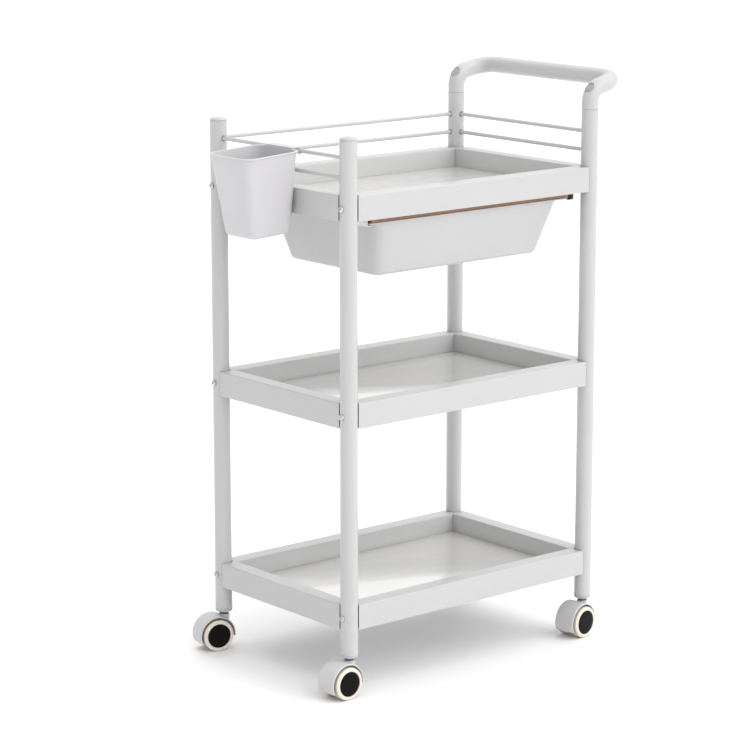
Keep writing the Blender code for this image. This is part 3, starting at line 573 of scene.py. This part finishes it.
grey_plastic = moulded("grey_plug_plastic", (0.37, 0.37, 0.375), (0.355, 0.355, 0.36), 0.42)
for side, skin in elbows.items():
    face = turned([(0, 0.0003), (plug_r * 0.55, 0.0002), (plug_r - 0.0016, 0),
                   (plug_r - 0.0012, -0.0003), (plug_r - 0.0009, 0), (plug_r - 0.0002, 0),
                   (plug_r, -0.0002), (plug_r, -plug_thick), (0, -plug_thick)], steps=64)
    turn = outward.to_track_quat("Z", "Y").to_matrix().to_4x4()
    moved(face, Matrix.Translation(skin - outward * plug_sunk) @ turn)
    fitted(f"handle_plug_{side}_disc", face, "frame", grey_plastic,
           [f"handle_plug_{side}"])


# ---------------------------------------------------------------- board and rails
# Under the top tray a brown fibreboard panel stiffens the deck and shuts the drawer's top.
# Beside it a folded steel channel on each side carries the drawer's flange.
board = Finish("brown_fibreboard", {"IOR": 1.45})
fibre = board.noise(1400, 6.0, (0.35, 1.0, 2.0), 0.7)
fleck = board.noise(260, 3.0, (0.5, 1.0, 1.6), 0.6)
tone = board.mix(fibre.rises(0.3, 0.7), (0.36, 0.22, 0.12), (0.24, 0.135, 0.065))
board.give({"Base Color": board.mix(fleck.rises(0.52, 0.66) * 0.5, tone, (0.50, 0.34, 0.20)),
            "Roughness": 0.68 + 0.2 * fibre})
board.bump(fibre, 0.0002, 0.6)
low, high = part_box("stiffener_board")
panel = bmesh.new()
block(panel, low, high)
bmesh.ops.bevel(panel, geom=panel.edges[:], offset=0.0006, segments=2, profile=0.5,
                affect="EDGES", material=-1)
fitted("stiffener_board_panel", panel, "frame", board, ["stiffener_board"])

rail_metal = Finish("zinc_steel", {"Metallic": 1.0})
streak = rail_metal.noise(260, 4.0, (1.0, 0.06, 1.0), 0.6)
spangle = rail_metal.noise(70, 2.0).rises(0.42, 0.58)
zinc = rail_metal.mix(spangle, (0.60, 0.61, 0.62), (0.50, 0.51, 0.53))
rail_metal.give({"Base Color": rail_metal.mix(streak.rises(0.5, 0.8) * 0.5, zinc,
                                              (0.30, 0.30, 0.31)),
                 "Roughness": 0.32 + 0.16 * streak + 0.10 * spangle})
rail_metal.bump(streak, 0.00004, 0.5)
rail_sheet = 0.0012
for side, sx in (("left", -1), ("right", 1)):
    low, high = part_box(f"drawer_rail_{side}")
    inner, outer = (high.x, low.x) if sx < 0 else (low.x, high.x)
    channel = [(inner, low.z), (outer, low.z), (outer, high.z), (inner, high.z),
               (inner, high.z - rail_sheet), (outer - sx * rail_sheet, high.z - rail_sheet),
               (outer - sx * rail_sheet, low.z + rail_sheet), (inner, low.z + rail_sheet)]
    rail = bmesh.new()
    end = rail.faces.new([rail.verts.new((x, low.y, z)) for x, z in channel])
    run = bmesh.ops.extrude_face_region(rail, geom=[end])["geom"]
    bmesh.ops.translate(rail, vec=(0, high.y - low.y, 0),
                        verts=[g for g in run if isinstance(g, bmesh.types.BMVert)])
    long_edges = [e for e in rail.edges if abs(e.verts[0].co.y - e.verts[1].co.y) > 0.1]
    bmesh.ops.bevel(rail, geom=long_edges, offset=0.00035, segments=2, profile=0.5,
                    affect="EDGES", material=-1)
    fitted(f"drawer_rail_{side}_channel", rail, "frame", rail_metal,
           [f"drawer_rail_{side}"])


# ---------------------------------------------------------------- drawer
# A white injection-moulded drawer with leaning walls, well rounded corners and a 2 mm wall.
# Its flat flange slides in the rails.
def tub(top_half, foot_half, low, high, corner_round, foot_round, middle):
    """An open tub's skin, leaning outwards, and the edges of its mouth."""
    shape = bmesh.new()
    block(shape, (middle[0] - top_half[0], middle[1] - top_half[1], low),
          (middle[0] + top_half[0], middle[1] + top_half[1], high))
    upright = [e for e in shape.edges if abs(e.verts[0].co.z - e.verts[1].co.z) > 1e-6]
    bmesh.ops.bevel(shape, geom=upright, offset=corner_round, segments=10, profile=0.5,
                    affect="EDGES", material=-1)
    foot = [v for v in shape.verts if v.co.z < (low + high) / 2]
    bmesh.ops.scale(shape, vec=(foot_half[0] / top_half[0], foot_half[1] / top_half[1], 1),
                    verts=foot, space=Matrix.Translation((-middle[0], -middle[1], 0)))
    below = [e for e in shape.edges if all(v.co.z < (low + high) / 2 for v in e.verts)]
    bmesh.ops.bevel(shape, geom=below, offset=foot_round, segments=6, profile=0.5,
                    affect="EDGES", material=-1)
    lid = [f for f in shape.faces if f.calc_center_median().z > high - 1e-6]
    bmesh.ops.delete(shape, geom=lid, context="FACES_ONLY")
    bmesh.ops.recalc_face_normals(shape, faces=shape.faces)
    lowest = min(shape.faces, key=lambda f: f.calc_center_median().z)
    if lowest.normal.z > 0:
        bmesh.ops.reverse_faces(shape, faces=shape.faces)
    return shape, [e for e in shape.edges if e.is_boundary]


def walled(piece, thickness, edge_round):
    """Gives a skin its wall on the inside, and rounds the wall's edges."""
    wall = piece.modifiers.new("wall", "SOLIDIFY")
    wall.thickness = thickness
    wall.offset = -1.0
    wall.use_even_offset = True
    edge = piece.modifiers.new("edge", "BEVEL")
    edge.width = edge_round
    edge.segments = 2
    edge.limit_method = "ANGLE"
    edge.angle_limit = math.radians(50)
    edge.harden_normals = False


drawer_wall = 0.002
drawer_depth = 0.081
drawer_foot_x = 0.15695
drawer_corner = 0.017
drawer_foot_round = 0.006
drawer_lean = (0.250, 0.310)
flange_past_end = 0.006
low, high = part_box("drawer")
drawer_middle = ((low.x + high.x) / 2, (low.y + high.y) / 2)
flange_half = ((high.x - low.x) / 2, (high.y - low.y) / 2)
mouth_z = high.z - drawer_wall
drawer_foot = (drawer_foot_x, flange_half[1] - flange_past_end - drawer_lean[1] * drawer_depth)
drawer_top = (drawer_foot[0] + drawer_lean[0] * drawer_depth, flange_half[1] - flange_past_end)
shape, mouth = tub(drawer_top, drawer_foot, mouth_z - drawer_depth, mouth_z, drawer_corner,
                   drawer_foot_round, drawer_middle)
rim = bmesh.ops.extrude_edge_only(shape, edges=mouth)["geom"]
rim = [g for g in rim if isinstance(g, bmesh.types.BMVert)]
bmesh.ops.scale(shape, vec=(flange_half[0] / drawer_top[0], flange_half[1] / drawer_top[1], 1),
                verts=rim, space=Matrix.Translation((-drawer_middle[0], -drawer_middle[1], 0)))
drawer_piece = fitted("drawer_moulding", shape, "drawer", white_plastic,
                      ["drawer"])
walled(drawer_piece, drawer_wall, 0.0005)


# ---------------------------------------------------------------- bucket
# A cool-white moulded bucket.  A wide hook on its inner side hangs over the upper rod, and
# the wall below leans on the tray's rim, so the whole bucket tips a little.
cool_plastic = moulded("cool_white_plastic", (0.570, 0.563, 0.576), (0.558, 0.551, 0.563),
                       0.33, soft=0.05)
bucket_wall = 0.002
bucket_height = 0.116
bucket_half = (0.0472, 0.0485)
bucket_taper = (0.097, 0.116)
bucket_corner = 0.017
bucket_foot_round = 0.007
bucket_tilt = math.radians(3.3)
rim_up = 0.001
rim_past = 0.002
hook_drop = 0.006
rod_to_wall = 0.00997
hook_half = 0.030
hook_gap = 0.0004
rod_low, rod_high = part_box("guard_rod_left_upper")
bucket_low, bucket_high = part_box("bucket")
rod_at = Vector(((rod_low.x + rod_high.x) / 2, 0, (rod_low.z + rod_high.z) / 2))
bucket_y = (bucket_low.y + bucket_high.y) / 2
middle = (-rod_to_wall - bucket_half[0], bucket_y)
foot_half = [half - lean * bucket_height for half, lean in zip(bucket_half, bucket_taper)]
shape, mouth = tub(bucket_half, foot_half, rim_up - bucket_height, rim_up, bucket_corner,
                   bucket_foot_round, middle)
lip = bmesh.ops.extrude_edge_only(shape, edges=mouth)["geom"]
bmesh.ops.scale(shape, vec=[1 + rim_past / half for half in bucket_half] + [1],
                verts=[g for g in lip if isinstance(g, bmesh.types.BMVert)],
                space=Matrix.Translation((-middle[0], -middle[1], 0)))
tip = Matrix.Translation(rod_at) @ Matrix.Rotation(-bucket_tilt, 4, "Y")
bucket_piece = fitted("bucket_moulding", moved(shape, tip), "bucket", cool_plastic,
                      ["bucket"])
walled(bucket_piece, bucket_wall, 0.0006)

under = rod_r + hook_gap
over = under + bucket_wall
weld = 0.8 * bucket_wall
hook_line = [(-rod_to_wall - weld, -hook_drop), (-rod_to_wall - weld, over),
             (over - bucket_wall, over), (over, over - bucket_wall), (over, -hook_drop),
             (under, -hook_drop), (under, under), (-rod_to_wall, under),
             (-rod_to_wall - 0.1 * weld, -hook_drop)]
hook = bmesh.new()
side = hook.faces.new([hook.verts.new((x, bucket_y - hook_half, z)) for x, z in hook_line])
run = bmesh.ops.extrude_face_region(hook, geom=[side])["geom"]
bmesh.ops.translate(hook, vec=(0, 2 * hook_half, 0),
                    verts=[g for g in run if isinstance(g, bmesh.types.BMVert)])
folds = [e for e in hook.edges if abs(e.verts[0].co.y - e.verts[1].co.y) > hook_half]
bmesh.ops.bevel(hook, geom=folds, offset=0.0006, segments=3, profile=0.5, affect="EDGES",
                material=-1)
fitted("bucket_hook", moved(hook, tip), "bucket", cool_plastic)


# ---------------------------------------------------------------- casters
# Four twin-wheel casters.  A plastic socket in the post's foot holds the steel stem, which
# turns in the moulded hood; two beige wheels run on one axle, each with a black disc.
trail = 0.0165
wheel_r = 0.024
wheel_inner = 0.0064
wheel_outer = 0.021
hood_r = 0.0288
hood_sheet = 0.0018
hood_half = 0.017
web_half = 0.0059
disc_r = 0.0185
swivels = {"front_left": 1.0, "back_left": -14.0, "front_right": 8.0, "back_right": -6.0}
socket_low, socket_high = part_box("caster_front_left_socket")
stem_low, stem_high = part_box("caster_front_left_stem")
stem_r = 0.0055
pin_r = 0.0035
collar_r = 0.0064
collar_low = wheel_r + math.sqrt(hood_r ** 2 - trail ** 2) + 0.0055
half_axle = wheel_outer - 0.0028
axle_r = 0.0030
axle_break = 0.0004
web_foot = -0.0085
boss_depth = 0.0095

tread_plastic = Finish("beige_tread", {"IOR": 1.48})
grit = tread_plastic.noise(700, 4.0, None, 0.65)
rolled = tread_plastic.add("ShaderNodeAttribute", {"attribute_name": "rolled"}, None, "Fac")
dirt = (rolled * (0.55 + 0.9 * tread_plastic.noise(120, 5.0))).rises(0.45, 1.1)
tone = tread_plastic.mix(rolled, (0.735, 0.68, 0.585), (0.60, 0.53, 0.43))
tread_plastic.give({"Base Color": tread_plastic.mix(dirt * 0.45, tone, (0.34, 0.31, 0.27)),
                    "Roughness": 0.36 + 0.22 * rolled + 0.14 * grit})
tread_plastic.bump(grit, 0.0001, 0.5)

dark_steel = Finish("dark_steel", {"Metallic": 1.0})
grind = dark_steel.noise(480, 3.0, (1.0, 1.0, 3.0), 0.6)
dark_steel.give({"Base Color": dark_steel.mix(grind.rises(0.35, 0.7), (0.20, 0.20, 0.205),
                                              (0.10, 0.10, 0.11)),
                 "Roughness": 0.30 + 0.22 * grind})
dark_steel.bump(grind, 0.00004, 0.5)

black_gloss = Finish("black_gloss_disc", {"IOR": 1.45, "Specular IOR Level": 0.12})
haze = black_gloss.noise(60, 4.0)
scratch = black_gloss.noise(520, 4.0, (1.0, 1.0, 0.1), 0.7).rises(0.62, 0.72)
black_gloss.give({"Base Color": black_gloss.mix(haze, (0.0022, 0.0018, 0.0015),
                                                (0.0040, 0.0034, 0.0030)),
                  "Roughness": 0.16 + 0.12 * haze + 0.25 * scratch})
black_gloss.bump(black_gloss.noise(300, 2.0), 0.00003, 0.3)

socket_shape = turned([(tube_r - tube_wall - seam, socket_high.z),
                       (tube_r - tube_wall - seam, post_foot - seam),
                       (tube_r, post_foot - seam)] +
                      [(tube_r - 0.0026 + 0.0026 * math.cos(math.radians(a)),
                        socket_low.z + 0.0026 - 0.0026 * math.sin(math.radians(a)))
                       for a in range(0, 91, 15)] +
                      [(stem_r + seam, socket_low.z), (stem_r + seam, socket_high.z)],
                      steps=72, closed=True)
stem_shape = turned([(0, stem_high.z), (stem_r - 0.001, stem_high.z),
                     (stem_r, stem_high.z - 0.001), (stem_r, socket_low.z - seam),
                     (collar_r - 0.0003, socket_low.z - seam),
                     (collar_r, socket_low.z - 0.0006), (collar_r, collar_low + 0.0003),
                     (collar_r - 0.0003, collar_low), (pin_r, collar_low),
                     (pin_r, stem_low.z), (0, stem_low.z)], steps=48)


def hood_shape():
    """The arched cover, spun about the axle, with its web and the boss round the stem."""
    inner = hood_r - hood_sheet
    crown = [(-hood_half, hood_r - 0.0010), (-hood_half + 0.0004, hood_r - 0.0005),
             (-hood_half + 0.0016, hood_r - 0.0001), (-hood_half + 0.0040, hood_r),
             (hood_half - 0.0040, hood_r), (hood_half - 0.0016, hood_r - 0.0001),
             (hood_half - 0.0004, hood_r - 0.0005), (hood_half, hood_r - 0.0010),
             (hood_half, inner), (-hood_half, inner)]
    cover = bmesh.new()
    start = math.radians(-8)
    sweep = math.radians(213)
    ends = [cover.verts.new((r * math.cos(start), y, r * math.sin(start))) for y, r in crown]
    end = cover.faces.new(ends)
    bmesh.ops.spin(cover, geom=[end], cent=(0, 0, 0), axis=(0, -1, 0), angle=sweep, steps=56,
                   use_merge=False)
    bmesh.ops.recalc_face_normals(cover, faces=cover.faces)
    web = bmesh.new()
    bar(web, (0, -web_half, 0), (0, web_half, 0), inner + 0.0004, 96)
    below = bmesh.new()
    block(below, (-0.05, -0.05, -0.05), (0.05, 0.05, web_foot))
    web = worked(web, below)
    boss = bmesh.new()
    bar(boss, (trail, 0, collar_low - wheel_r - boss_depth),
        (trail, 0, collar_low - wheel_r - seam), collar_r + 0.0016, 48)
    rooms = bmesh.new()
    for way in (-1, 1):
        bar(rooms, (0, way * (web_half + 0.0001), 0), (0, way * 0.030, 0), inner - 0.0001, 96)
    boss = worked(boss, rooms)
    whole = worked(worked(cover, web, "UNION"), boss, "UNION")
    bores = bmesh.new()
    bar(bores, (trail, 0, -0.004), (trail, 0, 0.05), pin_r + seam, 32)
    return worked(whole, bores)


def wheel_shape():
    """One wheel, its outer face up: a rounded shoulder, a light ring and a seat for the disc."""
    shoulder = 0.0034
    rim = [(wheel_r - shoulder + shoulder * math.cos(math.radians(a)),
            wheel_outer - shoulder + shoulder * math.sin(math.radians(a)))
           for a in range(90, -1, -15)]
    face = [(0, wheel_outer - 0.0010), (disc_r, wheel_outer - 0.0010),
            (disc_r + 0.0003, wheel_outer - 0.0002), (disc_r + 0.0007, wheel_outer)]
    back = [(wheel_r, wheel_inner + 0.0014), (wheel_r - 0.0004, wheel_inner + 0.0004),
            (wheel_r - 0.0014, wheel_inner), (wheel_r - 0.0040, wheel_inner),
            (wheel_r - 0.0046, wheel_inner + 0.0030), (0.0075, wheel_inner + 0.0030),
            (0.0070, wheel_inner), (axle_r + seam, wheel_inner), (axle_r + seam, half_axle + seam),
            (0, half_axle + seam)]
    shape = turned([*face, *rim, *back], steps=96)
    worn = shape.verts.layers.float.new("rolled")
    for vert in shape.verts:
        out = math.hypot(vert.co.x, vert.co.y)
        edge = wheel_outer - vert.co.z
        vert[worn] = 1.0 if out > wheel_r - 0.0008 and edge > shoulder * 0.7 else 0.0
    return shape


hood = hood_shape()
wheel = wheel_shape()
disc = turned([(0, wheel_outer - 0.00005), (disc_r * 0.55, wheel_outer - 0.0001),
               (disc_r - 0.0012, wheel_outer - 0.0003), (disc_r - 0.0004, wheel_outer - 0.0005),
               (disc_r - 0.0002, wheel_outer - 0.00098), (0, wheel_outer - 0.00098)], steps=72)
axle = turned([(0, half_axle), (axle_r - axle_break, half_axle), (axle_r, half_axle - axle_break),
               (axle_r, axle_break - half_axle), (axle_r - axle_break, -half_axle),
               (0, -half_axle)], steps=32)
for corner in corners:
    name = f"caster_{corner}"
    post = Matrix.Translation(axis_of[corner])
    swivel = post @ Matrix.Rotation(math.radians(swivels[corner]), 4, "Z")
    hub = swivel @ Matrix.Translation((-trail, 0, wheel_r))
    fitted(f"{name}_socket_sleeve", copy_of(socket_shape, post), "frame", white_plastic,
           [f"{name}_socket"])
    fitted(f"{name}_stem_pin", copy_of(stem_shape, swivel), name, dark_steel,
           [f"{name}_stem"])
    fitted(f"{name}_hood_cover", copy_of(hood, hub), name, cool_plastic,
           [f"{name}_hood"], crisp=40)
    fitted(f"{name}_axle_pin", copy_of(axle, hub @ Matrix.Rotation(math.pi / 2, 4, "X")), name,
           dark_steel, [f"{name}_axle"])
    for side, angle in (("a", 90), ("b", -90)):
        lay = hub @ Matrix.Rotation(math.radians(angle), 4, "X")
        body = f"{name}_wheel_{side}"
        fitted(f"{body}_tyre", copy_of(wheel, lay), body, tread_plastic, [body])
        fitted(f"{body}_disc", copy_of(disc, lay), body, black_gloss)
for shape in (hood, wheel, disc, axle, socket_shape, stem_shape):
    shape.free()


# ---------------------------------------------------------------- floor, light and camera
# A plain pale floor under soft studio light: overhead, from the front and right, and from
# behind, so that flat tops gleam.
floor_shape = bmesh.new()
bmesh.ops.create_grid(floor_shape, x_segments=1, y_segments=1, size=60)
floor_mesh = bpy.data.meshes.new("floor")
floor_shape.to_mesh(floor_mesh)
floor_shape.free()
floor = bpy.data.objects.new("floor", floor_mesh)
bpy.context.scene.collection.objects.link(floor)
floor_paint = Finish("pale_floor", {"IOR": 1.4, "Specular IOR Level": 0.3})
floor_cloud = floor_paint.noise(1.5, 2.0)
floor_paint.give({"Base Color": floor_paint.mix(floor_cloud, (0.94, 0.94, 0.94),
                                                (0.925, 0.925, 0.925)),
                  "Roughness": 0.55 + 0.1 * floor_cloud})
floor_mesh.materials.append(floor_paint.material)

world = bpy.data.worlds.new("studio")
bpy.context.scene.world = world
world.use_nodes = True
world.node_tree.nodes["Background"].inputs["Color"].default_value = (1.0, 1.0, 1.0, 1.0)
world.node_tree.nodes["Background"].inputs["Strength"].default_value = 0.70


def sun(name, towards, strength, spread):
    """A soft light from far away, shining from the given direction."""
    lamp = bpy.data.lights.new(name, "SUN")
    lamp.energy = strength
    lamp.angle = math.radians(spread)
    item = bpy.data.objects.new(name, lamp)
    item.rotation_euler = Vector(towards).to_track_quat("Z", "Y").to_euler()
    bpy.context.scene.collection.objects.link(item)


sun("overhead", (0.15, 0.1, 1.0), 1.35, 80)
sun("front", (-0.1, -1.0, 0.6), 0.80, 60)
sun("right", (0.75, -0.85, 0.75), 1.00, 60)
sun("behind", (0.62, 0.74, 0.35), 0.55, 90)

camera = bpy.data.cameras.new("camera")
camera.sensor_width = 36.0
camera.lens = 134.53
camera.clip_end = 200.0
camera_item = bpy.data.objects.new("camera", camera)
camera_item.location = (-2.653115, -3.10827, 1.29340)
camera_item.rotation_euler = (math.radians(77.903), 0.0, math.radians(-40.0245))
bpy.context.scene.collection.objects.link(camera_item)
bpy.context.scene.camera = camera_item
bpy.context.scene.view_settings.view_transform = "Standard"
